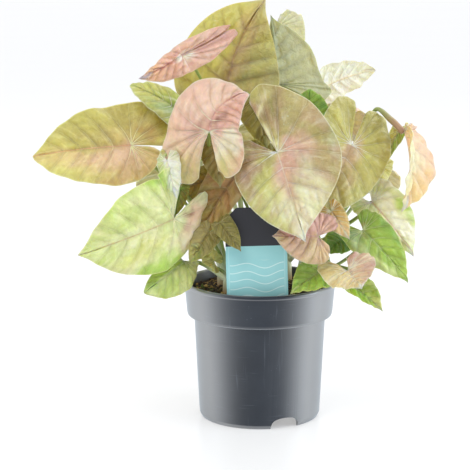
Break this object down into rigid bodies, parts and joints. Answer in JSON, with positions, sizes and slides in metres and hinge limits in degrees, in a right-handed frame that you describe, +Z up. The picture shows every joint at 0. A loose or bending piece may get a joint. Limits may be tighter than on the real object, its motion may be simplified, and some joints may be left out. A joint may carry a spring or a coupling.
{
  "type": "potted arrowhead plant",
  "caption": "Bushy potted arrowhead plant with heart-shaped blades on slim stalks, in a tapered round nursery pot with a deep rim band, drain notches and a push-in label card.",
  "frame": {"origin": "middle of the pot's foot, on the surface that it stands on", "axes": "+Z up, -Y towards the front, where the label card stands, +X to the right seen from the front"},
  "size_m": [0.3092, 0.2299, 0.328],
  "materials": {
    "pot_plastic": "satin",
    "soil": "matte",
    "label_card": "satin",
    "stalk": "satin",
    "leaf": "satin"
  },
  "bodies": {
    "root": {"label": "label_card", "leaf_back_high_left": "leaf", "leaf_back_high_right": "leaf", "leaf_back_left": "leaf", "leaf_back_low_left": "leaf", "leaf_back_low_right": "leaf", "leaf_back_middle": "leaf", "leaf_back_right": "leaf", "leaf_back_rim": "leaf", "leaf_back_side": "leaf", "leaf_back_upper": "leaf", "leaf_front_broad": "leaf", "leaf_front_pink": "leaf", "leaf_inner_amber": "leaf", "leaf_inner_dark": "leaf", "leaf_inner_green": "leaf", "leaf_inner_low": "leaf", "leaf_inner_olive": "leaf", "leaf_inner_tag": "leaf", "leaf_left_broad": "leaf", "leaf_left_curl": "leaf", "leaf_left_folded": "leaf", "leaf_low_bud": "leaf", "leaf_low_dark": "leaf", "leaf_low_left": "leaf", "leaf_low_left_small": "leaf", "leaf_low_olive": "leaf", "leaf_low_orange": "leaf", "leaf_low_right": "leaf", "leaf_low_rose": "leaf", "leaf_rear_right": "leaf", "leaf_right_broad": "leaf", "leaf_right_cream": "leaf", "leaf_right_lobe": "leaf", "leaf_right_peach": "leaf", "leaf_right_rear": "leaf", "leaf_rim_green": "leaf", "leaf_top_broad": "leaf", "leaf_top_grey": "leaf", "leaf_top_pink": "leaf", "leaf_top_rear": "leaf", "pot": "pot_plastic", "shoot_back_left": "stalk", "shoot_back_right": "stalk", "shoot_front": "stalk", "shoot_front_left": "stalk", "shoot_left": "stalk", "shoot_right": "stalk", "soil": "soil"}
  },
  "joints": []
}
